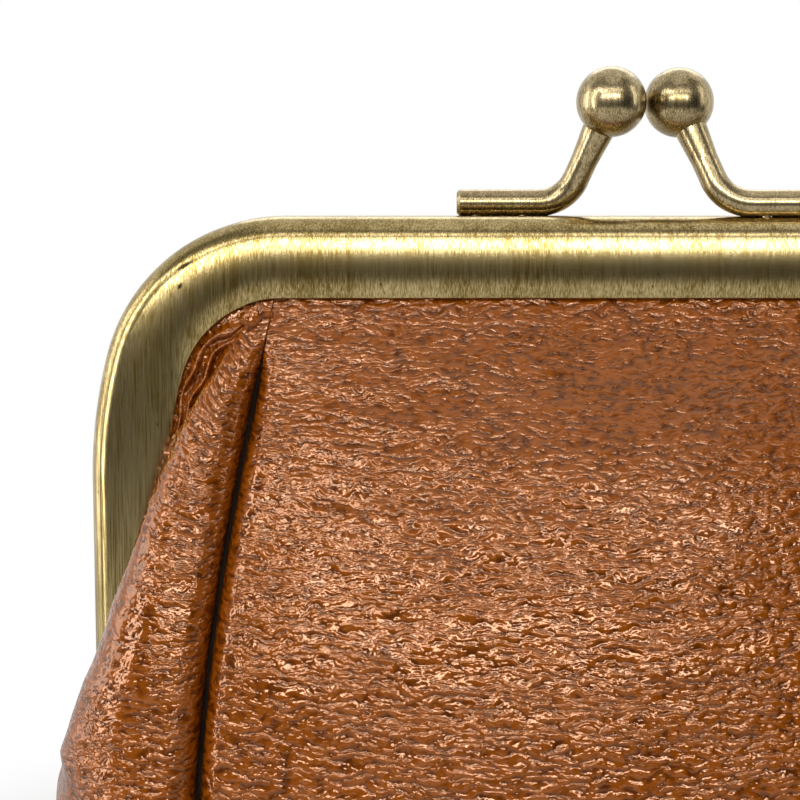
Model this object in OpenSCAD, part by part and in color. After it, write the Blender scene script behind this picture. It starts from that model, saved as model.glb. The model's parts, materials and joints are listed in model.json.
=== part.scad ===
// Leather purse that closes with a sprung metal mouth frame and two crossing clasp balls.
// X runs across the purse, -Y is the front and Z is up from the surface that the purse stands on.

/* [Frame] */
// Width of the closed frame over its two arms
frame_w = 126; // [115:1:140]
// Drop from the top of the frame to the hinge axis
arm_drop = 54; // [50:1:58]
// Height of the strip that shows at the front
strip_h = 8.9; // [8.4:0.1:9.6]
// Depth of one half of the frame, front to back
channel_d = 5.05; // [4.9:0.05:5.6]
// Thickness of the pressed sheet
sheet_t = 0.8; // [0.7:0.05:0.85]
// Outer radius of the rounded upper corners
corner_r = 21; // [19:0.5:24]
// Outer radius of the slow curve below each corner
flare_r = 57; // [50:1:70]
// Angle that the slow curve turns through
flare_deg = 15; // [12:0.5:18]
// Outer radius between the top and the front of the strip
shoulder_r = 3; // [2:0.1:3.4]
// Outer radius between the top and the back of the strip
back_r = 1.1; // [1:0.05:1.2]
// Gap between the two closed halves
mouth_gap = 0.3; // [0.2:0.05:0.5]

/* [Hinge] */
// Radius of the ears that carry each hinge rivet
ear_r = 3; // [2.6:0.1:3.2]
// Radius of the hinge rivet shank
pivot_r = 1; // [0.8:0.05:1.3]
// Radius of the domed rivet head
pivot_head_r = 2.2; // [1.8:0.1:2.4]
// Height of the domed rivet head
pivot_head_h = 0.9; // [0.6:0.05:1.2]

/* [Clasp] */
// Diameter of each clasp ball
ball_d = 7.9; // [7:0.1:9]
// Height of the ball centres above the top of the frame
ball_h = 12.8; // [11:0.1:15]
// Diameter of the clasp wire
wire_d = 3.1; // [2.6:0.1:3.4]
// Diameter of the wire where it flares into its ball
neck_d = 3.7; // [3.5:0.1:4]
// Distance of the wire from the inner face of its half of the frame
wire_in = 2.15; // [1.9:0.05:2.4]
// Length of the wire that lies along the frame, before its bend
foot_l = 9.4; // [8:0.1:12]
// Radius of the bend at the middle of the wire
bend_r = 4.5; // [4:0.1:6]
// Slope of the raised wire above the frame
stem_deg = 68; // [62:1:72]
// Distance that each closed ball stands past the middle plane
ball_cross = 1.2; // [0.8:0.1:1.6]
// Gap between the balls as they pass
kiss_gap = 0.05; // [0.03:0.01:0.2]
// Radius of the rivets under the wire
peg_r = 0.7; // [0.5:0.05:0.8]
// Depth of each rivet in the wire
peg_in = 1.4; // [1:0.1:1.6]

/* [Leather body] */
// Height from the base to the top of the frame
body_h = 100; // [95:1:110]
// Half width of the front panel where it leaves the frame
panel_top = 41.8; // [38:0.2:42]
// Half width of the front panel at its widest
panel_low = 50; // [48:0.5:53]
// Radius of the lower corners of the panels
panel_r = 22; // [18:1:25]
// Height of the lower seams above the base
seam_z = 4.5; // [4.5:0.1:6]
// Depth of the side seams from the middle plane
seam_y = 22; // [19:0.5:24]
// Swell of the panels beyond their seams
belly = 6; // [4:0.5:8]
// Rounding of the panels at their seams
puff = 2; // [1.7:0.1:2.4]
// Distance that the side gussets swell beyond the arms of the frame
gusset_out = 4; // [2:0.2:5]
// Length below the arms over which the gussets fill out
fill_l = 18.3; // [14:0.1:24]
// Thickness of the leather
leather_t = 1.2; // [1:0.05:1.25]
// Width of the turned seam allowance
allowance = 3.5; // [3:0.1:4]
// Depth that the leather goes into the frame
tuck = 4.6; // [4:0.1:5]

/* [Lining] */
// Thickness of the lining
lining_t = 0.4; // [0.3:0.05:0.45]
// Diameter of the paper cord that wedges the leather in the frame
cord_d = 1.3; // [1.1:0.05:1.35]
// Length of each stitch along the seams
stitch = 3; // [2:0.5:4]
// Radius of the thread
thread_r = 0.2; // [0.15:0.05:0.3]

/* [Hidden] */
$fn = 48;
fit_gap = 0.02;     // round a pressed or brazed fit
run_gap = 0.05;     // round a fit that turns
layer_gap = 0.1;    // between layers pressed together
brass = [0.55, 0.47, 0.3];
leather = [0.5, 0.23, 0.09];
cloth = [0.3, 0.22, 0.16];
paper = [0.78, 0.68, 0.5];

// Frame: drops are measured down from the top of the frame.
half_y0 = mouth_gap / 2;
half_y1 = half_y0 + channel_d;
slow_x = frame_w / 2 - flare_r;
corner_x = slow_x + (flare_r - corner_r) * cos(flare_deg);
flare_drop = corner_r + (flare_r - corner_r) * sin(flare_deg);
turn_deg = 90 - flare_deg;
ear_gap = 0.35;
join_step = 0.02;
join_deg = 1;
arm_end = arm_drop - ear_r - ear_gap;
hinge_z = body_h - arm_drop;
arm_end_z = body_h - arm_end;
front_ear_x = frame_w / 2 - sheet_t;
rear_ear_x = front_ear_x - layer_gap - sheet_t;

// Clasp
wire_r = wire_d / 2;
wire_y = half_y0 + wire_in;
seat_cut = 0.1;
seat_h = wire_r - seat_cut;
ball_r = ball_d / 2;
ball_x = ball_r + kiss_gap / 2;
rise = norm([ball_h - seat_h, wire_y + ball_cross]);
lean_deg = atan((wire_y + ball_cross) / (ball_h - seat_h));
knee_x = -ball_x - rise / tan(stem_deg);
tangent_l = bend_r * tan(stem_deg / 2);
bend_x = knee_x - tangent_l;
foot_x = bend_x - foot_l;
stem_l = rise / sin(stem_deg) - tangent_l;
neck_r = neck_d / 2;
neck_l = 4;
socket_at = sqrt(ball_r * ball_r - neck_r * neck_r) - 0.2;
tip_in = 2.2;
tip_r = wire_r - 0.25;
peg_places = [foot_x + 2.2, foot_x + foot_l - 1.8];
peg_tail = 0.4;

// Leather: layers in the channel, counted from the inside of its front wall
leather_y = half_y1 - sheet_t - layer_gap;
lining_gap = 0.25;  // the lining lies looser than the layers in the frame
cord_y = leather_y - leather_t - lining_gap - lining_t - layer_gap - cord_d / 2;
exit_z = body_h - strip_h;
side_end_z = seam_z + panel_r;
side_h = exit_z - side_end_z;
inner_r = corner_r - strip_h;
seam_gap = 0.1;
cord_up = 2.4;
cord_short = 0.5;
weld_in = 0.05;
tongue_l = 3;
end_cut = 0.35;
join_l = 0.25;
seam_q0 = 0.2;
seam_q1 = 0.98;
stitch_share = 0.8;
widest_x = frame_w / 2 + gusset_out;
gusset_w = widest_x - panel_low;

// How the seams, panels and gussets take shape along q, the place on the seam
turn_q = 0.05;      // where the edges start to turn in
turn_l = 0.2;       // and the length over which they do
flat_l = 0.8;       // over which they flatten out again in the base
swell_l = 0.3;      // over which the panels swell
tight_edge = 0.35;  // share of the rounding that an edge keeps beside the frame
rim_l = 0.2;        // over which the gussets come out of the frame
wide_power = 0.58;  // under 1, so that the gussets widen early
start_w = 1;        // width of the gussets where they leave the corner
fold_y = 8;         // depth of the seam from which a gusset folds over its arm
fold_l = 6;         // and the depth over which the fold grows
bow = 0.79;         // share of its handles that a curved row reaches
front_first = 1.2;  // how much sooner the gussets fill out at the front than in the middle
side_power = 2.4;   // roundness of the gussets below the frame
base_power = 4;     // and round the base
row_share = 0.86;   // share of the depth that the points of a free row cover
row_power = 0.85;   // closer together at the seam
first_drop = 1.2;   // length of the seam that the first row of a gusset takes
lining_back = 5;    // width of the linings that turns behind the seams
lining_step = 0.4;  // depth of the linings behind the ends of the seams

function mix(a, b, t) = a + (b - a) * t;
function clamp(t) = min(1, max(0, t));
function ease(t) = let(c = clamp(t)) c * c * (3 - 2 * c);
function unit(v) = v / max(norm(v), 1e-9);
function bezier(a, b, c, d, t) =
  let(s = 1 - t) a * s * s * s + 3 * b * s * s * t + 3 * c * s * t * t + d * t * t * t;

// A thin solid between two grids of points, where cell(r, c) says which cells it has.
module skin(outer, inner, cell) {
  rows = len(outer);
  cols = len(outer[0]);
  n = rows * cols;
  points = [for (g = [outer, inner]) for (row = g) for (p = row) p];
  has = function(r, c) r >= 0 && c >= 0 && r < rows - 1 && c < cols - 1 && cell(r, c);
  quad = function(a, b, c, d) [[a, b, c], [a, c, d]];
  faces = [
    for (r = [0:rows - 2]) for (c = [0:cols - 2]) if (has(r, c))
      let(
        a = r * cols + c, b = a + 1, d = a + cols, e = d + 1,
        walls = [
          if (!has(r - 1, c)) each quad(a + n, b + n, b, a),
          if (!has(r + 1, c)) each quad(e + n, d + n, d, e),
          if (!has(r, c - 1)) each quad(d + n, a + n, a, d),
          if (!has(r, c + 1)) each quad(b + n, e + n, e, b)
        ]
      )
      each concat(quad(b, e, d, a), quad(d + n, e + n, b + n, a + n), walls)
  ];
  polyhedron(points, faces, convexity = 6);
}

// The grid moved by a depth along its own normals, which point to -Y on a front panel.
function grid_normal(g, r, c) =
  let(
    r0 = max(r - 1, 0), r1 = min(r + 1, len(g) - 1),
    c0 = max(c - 1, 0), c1 = min(c + 1, len(g[0]) - 1)
  )
  unit(cross(
    unit(g[r][c1] - g[r][c]) + unit(g[r][c] - g[r][c0]),
    unit(g[r0][c] - g[r][c]) + unit(g[r][c] - g[r1][c])
  ));
function sunk(g, depth) = [
  for (r = [0:len(g) - 1]) [
    for (c = [0:len(g[0]) - 1]) g[r][c] - depth * grid_normal(g, r, c)
  ]
];

// The seam between a panel and its gusset, on the right side of the front.
// q runs from 0 at the frame to 1 at the lower corner, then to 2 in the middle of the base.
function down(q) = sin(90 * clamp(q));
function corner_deg(q) = 90 * clamp(q - 1);
function seam_point(q) = [
  mix(panel_top, panel_low, down(q)) - panel_r * (1 - cos(corner_deg(q))),
  -mix(leather_y, seam_y, down(q)),
  exit_z - side_h * clamp(q) - panel_r * sin(corner_deg(q))
];
function seam_out(q) = [cos(corner_deg(q)), 0, -sin(corner_deg(q))];
function turned(q) = ease((q - turn_q) / turn_l) * ease((2 - q) / flat_l);
function swell(q) = belly * ease(q / swell_l) * cos(corner_deg(q));

// The turned edge: k runs from 0 at the face over the seam to 4 at the end of the allowance.
function edge(q, k, side) =
  let(
    a = 30 * min(k, 3),
    round = side * puff * (sin(a) - 1),
    deep = puff * (1 - cos(a)) + (k == 4 ? allowance : 0),
    t = turned(q),
    flat = side * puff * (k / 4 - 1) * (q < 1 ? mix(tight_edge, 1, t) : 1),
    way = side > 0 ? [1, 0, 0] : seam_out(q)
  )
  seam_point(q) - side * seam_gap / 2 * seam_out(q)
    + t * (round * seam_out(q) + [0, deep, 0]) + (1 - t) * flat * way;

// Rows that the panels, gussets and linings share: beside the frame, below it, and round
// the lower corner.
hinge_q = (exit_z - arm_end_z) / side_h;
flap_q = [for (f = [0.07, 0.13, 0.2, 0.3, 0.42, 0.56, 0.7, 0.85, 1]) f * hinge_q];
free_q = [for (f = [0.1, 0.22, 0.38, 0.6, 0.8, 1]) mix(hinge_q, 1, f)];
corner_q = [1.15, 1.3, 1.45, 1.6, 1.7, 1.8, 1.9, 2];
rows_q = concat(flap_q, free_q, corner_q);

panel_u = [0, 0.2, 0.4, 0.6, 0.75, 0.88, 1];
function mirror_x(row) = [for (i = [len(row) - 1:-1:1]) [-row[i][0], row[i][1], row[i][2]]];
function whole(row) = concat(mirror_x(row), row);
function face_row(q) =
  let(e = edge(q, 0, 1))
  [for (u = panel_u) [e[0] * u, e[1] - swell(q) * (1 - u * u), e[2]]];
function panel_row(q) =
  concat(face_row(q), [for (k = [1:4]) edge(q, k, 1)]);
function lifted(row, z) = [for (p = row) [p[0], -leather_y, z]];
function panel_grid() = concat(
  [for (z = [exit_z + tuck, exit_z + tuck / 2, exit_z]) whole(lifted(panel_row(0), z))],
  [for (q = rows_q) whole(panel_row(q))]
);

// Places along the inner edge of the arch from the panel's seam to the end of the arm.
bar_l = corner_x - panel_top;
bend_l = inner_r * turn_deg * PI / 180;
slow_l = (flare_r - strip_h) * flare_deg * PI / 180;
arch_l = bar_l + bend_l + slow_l + arm_end - flare_drop;
function arch_point(s) =
  s < bar_l ? [panel_top + s, 0, exit_z]
  : s < bar_l + bend_l ?
    let(a = 90 - (s - bar_l) / inner_r * 180 / PI)
    [corner_x + inner_r * cos(a), 0, body_h - corner_r + inner_r * sin(a)]
  : s < bar_l + bend_l + slow_l ?
    let(a = flare_deg - (s - bar_l - bend_l) / (flare_r - strip_h) * 180 / PI)
    [slow_x + (flare_r - strip_h) * cos(a), 0,
      body_h - flare_drop + (flare_r - strip_h) * sin(a)]
  : [frame_w / 2 - strip_h, 0, body_h - flare_drop - (s - bar_l - bend_l - slow_l)];
function arch_deg(s) =
  s < bar_l ? 90
  : s < bar_l + bend_l ? 90 - (s - bar_l) / inner_r * 180 / PI
  : s < bar_l + bend_l + slow_l ?
    flare_deg - (s - bar_l - bend_l) / (flare_r - strip_h) * 180 / PI
  : 0;
function arch_out(s) = [cos(arch_deg(s)), 0, sin(arch_deg(s))];

// Rows of the right gusset. Above the end of the arm each row is a flap that goes into
// the channel. Below it the row runs on round the back.
bulge_n = 7;
edge_n = 4;
rim_gap = 0.3;

// The widest point of the gusset, and how far it stands out from its seam.
function spread(q) =
  q <= 1 ? mix(panel_top + start_w, widest_x, pow(clamp(q), wide_power)) - seam_point(q)[0]
  : mix(gusset_w, seam_z, ease(q - 1));
function at_rim(s, in, y) = arch_point(s) + arch_out(s) * in - [0, y, 0];
function flap_row(q) =
  let(
    s = arch_l * q / hinge_q,
    t = ease(q / rim_l),
    a = edge(q, 0, -1),
    reach = max(spread(q) - puff, 0.4) / bow,
    f = at_rim(s, mix(-1.8, -0.1, t), mix(leather_y + 0.4, half_y1 + rim_gap, t)),
    fold = ease((-seam_point(q)[1] - fold_y) / fold_l),
    b = a + reach * mix(0.25, 1, t * fold) * [1, 0, 0],
    c = f + reach * fold * arch_out(s) * 0.7 - [0, reach * t * mix(0.25, 0.35, fold), 0]
  )
  concat(
    [for (k = [4:-1:1]) edge(q, k, -1)],
    [for (i = [0:bulge_n]) bezier(a, b, c, f, i / bulge_n)],
    [
      at_rim(s, mix(-1.2, -0.55, t), mix(leather_y + 0.1, (half_y1 + leather_y) / 2 + rim_gap / 2, t)),
      at_rim(s, -0.4 + 0.1 * t, leather_y),
      at_rim(s, tuck / 2, leather_y),
      at_rim(s, tuck, leather_y)
    ]
  );
// The first row lies along the seam and on up into the channel.
function first_row() =
  let(
    n = edge_n + bulge_n + 1,
    x = panel_top + seam_gap / 2,
    p = edge(flap_q[0], 4, -1)
  )
  concat(
    [
      for (i = [0:n])
        let(drop = first_drop - i / n)
        [mix(x, p[0], drop / (exit_z - p[2])), -leather_y, exit_z - drop]
    ],
    [for (z = [0, tuck / 2, tuck]) [x, -leather_y, exit_z + z]]
  );
function free_row(q) =
  let(
    w = spread(q),
    power = mix(side_power, base_power, ease(q - 1)),
    last = flap_row(hinge_q),
    base = seam_point(q),
    count = bulge_n + edge_n,
    below = side_h * (min(q, 1) - hinge_q) + panel_r * PI / 2 * max(q - 1, 0),
    fill = function(i) ease(below / fill_l * (1 + front_first * (1 - i / count))),
    loose = function(i)
      let(f = 1 - row_share * pow(i / count, row_power))
      [base[0], base[1] * f, base[2]]
        + seam_out(q) * (puff + (w - puff) * pow(1 - pow(f, power), 1 / power))
  )
  concat(
    [for (k = [4:-1:0]) edge(q, k, -1)],
    [
      for (i = [1:count])
        let(p = last[edge_n + i])
        mix([p[0], p[1], base[2]], loose(i), fill(i))
    ]
  );
function mirror_y(row) = [for (i = [len(row) - 1:-1:0]) [row[i][0], -row[i][1], row[i][2]]];
function gusset_rows() = concat(
  [first_row()],
  [for (q = flap_q) flap_row(q)],
  [for (q = concat(free_q, corner_q)) free_row(q)]
);
function round_back(g) = [for (row = g) concat(row, mirror_y(row))];
function below(g, n) = [for (i = [n:len(g) - 1]) g[i]];
function above(g, n) = [for (i = [0:n - 1]) g[i]];

// The same, with the lower edge moved straight back, so that it ends square on the seam.
function sunk_panel(g, depth) =
  concat(
    above(sunk(g, depth), len(g) - 1),
    [[for (p = g[len(g) - 1]) p + [0, depth, 0]]]
  );

module left_of() {
  mirror([1, 0, 0]) children();
}

module rear_of() {
  rotate([0, 0, 180]) children();
}

// Channel section: x is 0 at the outer edge and runs inwards below it, y is the depth.
// $thin is the hair by which one length of the sweep is finer than the next, to join them.
$thin = 0;
module section_area(inset = 0) {
  r = shoulder_r - inset;
  b = back_r - inset;
  x0 = -strip_h - (inset > sheet_t / 2 ? 1 : -inset);
  y0 = half_y0 + inset;
  y1 = half_y1 - inset;
  translate([x0, y0]) square([-inset - r - x0, y1 - y0]);
  translate([x0, y0]) square([-inset - b - x0, y1 - y0 - r]);
  translate([x0, y0 + b]) square([-inset - x0, y1 - y0 - r - b]);
  translate([-inset - r, y1 - r]) intersection() {
    circle(r);
    square(r);
  }
  translate([-inset - b, y0 + b]) circle(b);
}

module lip_round(y, turn) {
  translate([-strip_h + sheet_t, y]) difference() {
    translate([-sheet_t - 1, turn > 0 ? 0 : -sheet_t - 1]) square([sheet_t + 1, sheet_t + 1]);
    circle(sheet_t - $thin);
  }
}

module channel_section() {
  difference() {
    section_area($thin);
    section_area(sheet_t - $thin);
    lip_round(half_y1 - sheet_t, 1);
    lip_round(half_y0 + sheet_t, -1);
  }
}

// A section swept from the middle of the top bar to the lower end of the right arm.
module arch_half(stop = arm_end) {
  translate([0, 0, body_h]) {
    rotate([180, -90, 0]) linear_extrude(corner_x) children();
    translate([corner_x, 0, -corner_r]) left_of() rotate([90, 0, 0]) rotate([0, 0, 90])
      rotate_extrude(angle = turn_deg, $fn = 96) translate([corner_r, 0]) children();
    let($thin = join_step) {
      translate([slow_x, 0, -flare_drop]) rotate([90, 0, 0])
        rotate_extrude(angle = flare_deg + join_deg, $fn = 180)
          translate([flare_r, 0]) children();
      translate([frame_w / 2, 0, -flare_drop]) rotate([180, 0, 0])
        linear_extrude(stop - flare_drop) children();
    }
  }
}

module arch(stop = arm_end) {
  arch_half(stop) children();
  left_of() arch_half(stop) children();
}

// An ear: a disc on the hinge axis and the neck that carries it from the end of the arm.
module ear(x) {
  translate([x, 0, hinge_z]) rotate([0, 90, 0]) cylinder(h = sheet_t, r = ear_r);
  translate([x, -ear_r, hinge_z])
    cube([sheet_t, ear_r - half_y0, arm_end_z - hinge_z]);
}

// The inner ear also has a tongue that is fixed inside the channel, against its web.
module inner_ear() {
  ear(rear_ear_x);
  translate([rear_ear_x, -ear_r, arm_end_z])
    cube([sheet_t + layer_gap + weld_in, ear_r - half_y0 - sheet_t, tongue_l]);
}

module both_sides() {
  children();
  left_of() children();
}

module half_frame(inner = false) {
  difference() {
    union() {
      arch() channel_section();
      both_sides() if (inner) inner_ear(); else ear(front_ear_x);
    }
    both_sides() translate([rear_ear_x - 1, 0, hinge_z]) rotate([0, 90, 0])
      cylinder(h = 3 * sheet_t + 2, r = pivot_r + run_gap);
    rear_of() peg_row(body_h - 2 * sheet_t, 3 * sheet_t, peg_r + fit_gap);
  }
}

module front_frame() {
  color(brass) half_frame();
}

module rear_frame() {
  color(brass) rear_of() half_frame(inner = true);
}

// A domed head of a rivet, standing on z = 0.
module dome(r, h) {
  big = (r * r + h * h) / (2 * h);
  rotate_extrude() intersection() {
    translate([0, h - big]) circle(big);
    square([r, h]);
  }
}

module hinge_rivet_right() {
  inside = rear_ear_x - layer_gap;
  outside = frame_w / 2 + layer_gap;
  color(brass) {
    translate([inside, 0, hinge_z]) rotate([0, 90, 0])
      cylinder(h = outside - inside, r = pivot_r);
    translate([outside, 0, hinge_z]) rotate([0, 90, 0]) dome(pivot_head_r, pivot_head_h);
    translate([inside, 0, hinge_z]) rotate([0, -90, 0]) dome(pivot_head_r, pivot_head_h);
  }
}

module hinge_rivet_left() {
  left_of() hinge_rivet_right();
}

// Upright pins along the foot of the rear wire.
module peg_row(z, h, r) {
  for (x = peg_places) translate([x, wire_y, z]) cylinder(h = h, r = r);
}

// Along the raised wire: the end of the bend is the origin and the ball lies on +Z.
module along_stem() {
  translate([0, wire_y, body_h + seat_h]) rotate([lean_deg, 0, 0])
    translate([bend_x + bend_r * sin(stem_deg), 0, bend_r * (1 - cos(stem_deg))])
      rotate([0, 90 - stem_deg, 0]) children();
}

// The rear wire lies on the left half of its bar, and its ball crosses to the front.
module rear_clasp_stem() {
  shoulder = stem_l - socket_at;
  color(brass) difference() {
    union() {
      translate([0, wire_y, body_h + seat_h]) {
        translate([foot_x + end_cut, 0, 0]) rotate([0, 90, 0])
          cylinder(h = foot_l - end_cut + join_l, r = wire_r - join_step);
        translate([foot_x, 0, 0]) rotate([0, 90, 0])
          cylinder(h = end_cut, r1 = wire_r - end_cut, r2 = wire_r - join_step);
        rotate([lean_deg, 0, 0]) translate([bend_x, 0, bend_r]) rotate([90, 0, 0])
          rotate([0, 0, -90]) rotate_extrude(angle = stem_deg) translate([bend_r, 0])
            circle(wire_r);
      }
      along_stem() {
        translate([0, 0, -join_l])
          cylinder(h = shoulder - neck_l + join_l, r = wire_r - join_step);
        translate([0, 0, shoulder - neck_l])
          cylinder(h = neck_l, r1 = wire_r - join_step, r2 = neck_r);
        translate([0, 0, shoulder]) cylinder(h = tip_in, r = tip_r);
      }
    }
    translate([foot_x - 1, wire_y - wire_d, body_h - wire_d])
      cube([foot_l + 2, 2 * wire_d, wire_d]);
    peg_row(body_h - 1, peg_in + 1 + fit_gap, peg_r + fit_gap);
  }
}

module front_clasp_stem() {
  rear_of() rear_clasp_stem();
}

module rear_clasp_ball() {
  color(brass) difference() {
    along_stem() translate([0, 0, stem_l]) sphere(ball_r, $fn = 64);
    along_stem() {
      translate([0, 0, stem_l - ball_d]) cylinder(h = ball_d - socket_at + fit_gap, r = neck_r + fit_gap);
      translate([0, 0, stem_l - ball_d])
        cylinder(h = ball_d - socket_at + tip_in + fit_gap, r = tip_r + fit_gap);
    }
  }
}

module front_clasp_ball() {
  rear_of() rear_clasp_ball();
}

module rear_clasp_rivets() {
  color(brass) {
    peg_row(body_h - sheet_t, sheet_t + peg_in, peg_r);
    for (x = peg_places) translate([x, wire_y, body_h - sheet_t]) rotate([180, 0, 0])
      dome(peg_r, peg_tail);
  }
}

module front_clasp_rivets() {
  rear_of() rear_clasp_rivets();
}

module front_paper_cord() {
  color(paper) arch(arm_end - cord_short)
    translate([cord_up - strip_h, cord_y]) circle(cord_d / 2 - $thin);
}

module rear_paper_cord() {
  rear_of() front_paper_cord();
}

module front_panel() {
  g = panel_grid();
  color(leather) skin(g, sunk_panel(g, leather_t), function(r, c) true);
}

module rear_panel() {
  rear_of() front_panel();
}

// A gusset skin between two depths: the flaps above the hinge part in the middle.
// Where start is over 0, the skin leaves out that many columns and starts behind the seam.
function gusset_layer(depth, start) =
  let(
    g = gusset_rows(),
    flaps = len(flap_q),
    full = concat(
      above(round_back(sunk(g, depth)), flaps),
      below(sunk(round_back(g), depth), flaps)
    ),
    n = len(g[0])
  )
  start == 0 ? full
  : [
      for (r = [0:len(full) - 1])
        let(
          q = r == 0 ? 0 : rows_q[r - 1],
          b = r == 0 ? full[0][0] : behind(q, -1, depth),
          kept = [for (c = [start:2 * n - 1 - start]) full[r][c]]
        )
        concat([b], kept, [[b[0], -b[1], b[2]]])
    ];
module gusset_skin(d0, d1, start = 0) {
  outer = gusset_layer(d0, start);
  n = len(outer[0]) / 2;
  skin(outer, gusset_layer(d1, start), function(r, c) r >= len(flap_q) || c != n - 1);
}

module right_gusset() {
  color(leather) gusset_skin(0, leather_t);
}

module left_gusset() {
  left_of() right_gusset();
}

// The base is flat below, with its front and rear edges turned in at the lower seams.
module base_area(inset) {
  r = (seam_z - seam_gap / 2) / 2;
  translate([r - seam_y, inset]) square([2 * (seam_y - r), 2 * (r - inset)]);
  for (y = [r - seam_y, seam_y - r]) translate([y, r]) circle(r - inset);
}

module base_panel() {
  l = seam_point(2)[0] - seam_gap / 2;
  open = seam_y - puff - allowance;
  color(leather) translate([-l, 0, 0]) rotate([90, 0, 90]) linear_extrude(2 * l)
    difference() {
      base_area(0);
      base_area(leather_t);
      translate([-open, seam_z / 2]) square([2 * open, seam_z]);
    }
}

// Linings lie inside the leather and pass behind its turned edges.
lining_in = leather_t + lining_gap;
function behind(q, side, depth) =
  seam_point(q) - side * seam_gap * seam_out(q)
    + [0, depth + turned(q) * (puff + allowance + lining_step), 0];
function lining_face(q) =
  let(e = edge(q, 0, 1), x1 = e[0] - lining_back * turned(q))
  [
    for (u = panel_u)
      let(x = x1 * u, f = x / e[0])
      [x, e[1] - swell(q) * (1 - f * f), e[2]]
  ];
function lining_layer(depth) =
  let(
    g = concat(
      [for (z = [exit_z + tuck, exit_z]) whole(lifted(lining_face(0), z))],
      [for (q = rows_q) whole(lining_face(q))]
    ),
    s = sunk_panel(g, depth)
  )
  [
    for (r = [0:len(g) - 1])
      let(
        b = behind(r < 2 ? 0 : rows_q[r - 2], 1, depth),
        p = r < 2 ? [b[0], depth - leather_y, g[r][0][2]] : b
      )
      concat([[-p[0], p[1], p[2]]], s[r], [p])
  ];

module front_lining() {
  color(cloth)
    skin(lining_layer(lining_in), lining_layer(lining_in + lining_t), function(r, c) true);
}

module rear_lining() {
  rear_of() front_lining();
}

module right_lining() {
  color(cloth) gusset_skin(lining_in, lining_in + lining_t, edge_n + 3);
}

module left_lining() {
  left_of() right_lining();
}

module base_lining() {
  l = seam_point(2)[0] - seam_gap;
  top = seam_z + layer_gap;
  low = leather_t + lining_gap;
  out = seam_y - leather_t - lining_gap - lining_t - layer_gap;
  rest = seam_y - puff - allowance - layer_gap;
  foot = rest - seam_z + low - lining_t;
  color(cloth) translate([-l, 0, 0]) rotate([90, 0, 90]) linear_extrude(2 * l) polygon([
    [-out, top], [-rest, top], [-foot, low], [foot, low], [rest, top], [out, top],
    [out, top + lining_t], [rest - lining_t, top + lining_t], [foot - lining_t, low + lining_t],
    [lining_t - foot, low + lining_t], [lining_t - rest, top + lining_t], [-out, top + lining_t]
  ]);
}

// A straight stitch from a to b.
module stitch_between(a, b) {
  d = b - a;
  translate(a) rotate([0, acos(d[2] / norm(d)), atan2(d[1], d[0])])
    cylinder(h = norm(d) * stitch_share, r = thread_r, $fn = 16);
}

// The seam thread lies on the turned edge of the panel, inside the purse.
module front_seam_thread() {
  steps = floor(side_h * (seam_q1 - seam_q0) / stitch);
  place = function(q)
    seam_point(q) + [
      -seam_gap / 2 - leather_t - thread_r - layer_gap, puff + allowance / 2, 0
    ];
  color(cloth) both_sides() for (i = [0:steps - 1])
    stitch_between(
      place(mix(seam_q0, seam_q1, i / steps)), place(mix(seam_q0, seam_q1, (i + 1) / steps))
    );
}

module rear_seam_thread() {
  rear_of() front_seam_thread();
}

front_frame();
rear_frame();
hinge_rivet_left();
hinge_rivet_right();
front_clasp_stem();
rear_clasp_stem();
front_clasp_ball();
rear_clasp_ball();
front_clasp_rivets();
rear_clasp_rivets();
front_paper_cord();
rear_paper_cord();
front_panel();
rear_panel();
left_gusset();
right_gusset();
base_panel();
front_lining();
rear_lining();
left_lining();
right_lining();
base_lining();
front_seam_thread();
rear_seam_thread();
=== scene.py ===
import json
import math

import bmesh
import bpy
import numpy as np
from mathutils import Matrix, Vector

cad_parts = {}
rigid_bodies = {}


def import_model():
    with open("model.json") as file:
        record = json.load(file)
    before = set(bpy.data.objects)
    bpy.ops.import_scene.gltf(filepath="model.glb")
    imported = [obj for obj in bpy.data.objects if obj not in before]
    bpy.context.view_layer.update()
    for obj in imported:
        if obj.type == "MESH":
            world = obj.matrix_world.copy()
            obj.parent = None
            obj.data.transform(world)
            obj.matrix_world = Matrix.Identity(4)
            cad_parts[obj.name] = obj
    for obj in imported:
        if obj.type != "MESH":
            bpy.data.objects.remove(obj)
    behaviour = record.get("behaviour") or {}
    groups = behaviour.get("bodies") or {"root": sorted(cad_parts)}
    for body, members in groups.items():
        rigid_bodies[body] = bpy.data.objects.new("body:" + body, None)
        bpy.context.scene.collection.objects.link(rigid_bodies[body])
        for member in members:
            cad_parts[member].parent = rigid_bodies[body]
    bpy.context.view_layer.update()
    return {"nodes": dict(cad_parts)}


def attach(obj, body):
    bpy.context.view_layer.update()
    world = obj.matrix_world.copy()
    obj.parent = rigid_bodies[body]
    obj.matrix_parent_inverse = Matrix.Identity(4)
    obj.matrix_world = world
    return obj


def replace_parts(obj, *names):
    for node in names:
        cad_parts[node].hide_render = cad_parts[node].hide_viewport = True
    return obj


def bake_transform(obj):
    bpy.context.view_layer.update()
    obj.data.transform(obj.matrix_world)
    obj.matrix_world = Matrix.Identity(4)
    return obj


for old in list(bpy.data.objects):
    bpy.data.objects.remove(old)
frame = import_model()
print("frame loaded:", len(frame["nodes"]), "nodes")


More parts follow.
